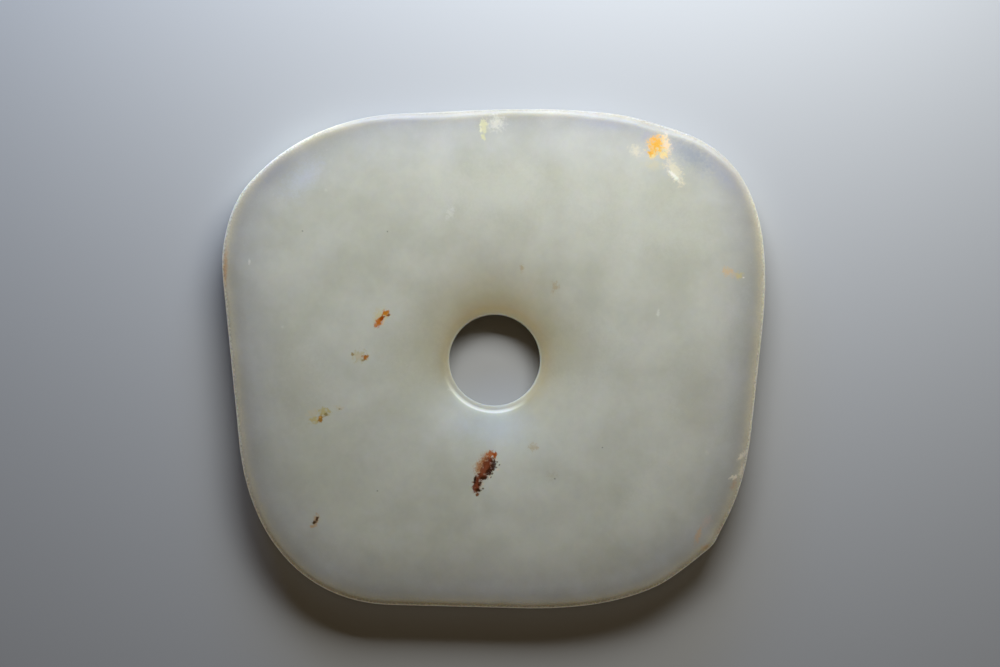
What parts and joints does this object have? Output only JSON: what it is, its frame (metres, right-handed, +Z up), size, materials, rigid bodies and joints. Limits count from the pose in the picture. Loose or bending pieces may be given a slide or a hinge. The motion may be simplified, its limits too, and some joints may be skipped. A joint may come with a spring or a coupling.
{
  "type": "jade bi disc",
  "caption": "Rounded-square bi disc of pale nephrite with a drilled central hole, ground thin towards its rim and its hole, lying flat.",
  "frame": {"origin": "under the middle of the disc's box, on the surface that it lies on", "axes": "+Z up through the disc's thickness; +Y towards the long, nearly straight edge that is the top one in the picture; +X to the right seen from above"},
  "size_m": [0.12, 0.1104, 0.0066],
  "materials": {
    "nephrite": "polished pale celadon nephrite, waxy and translucent, with a few russet and ochre stains"
  },
  "bodies": {
    "root": {"disc": "nephrite"}
  },
  "joints": []
}
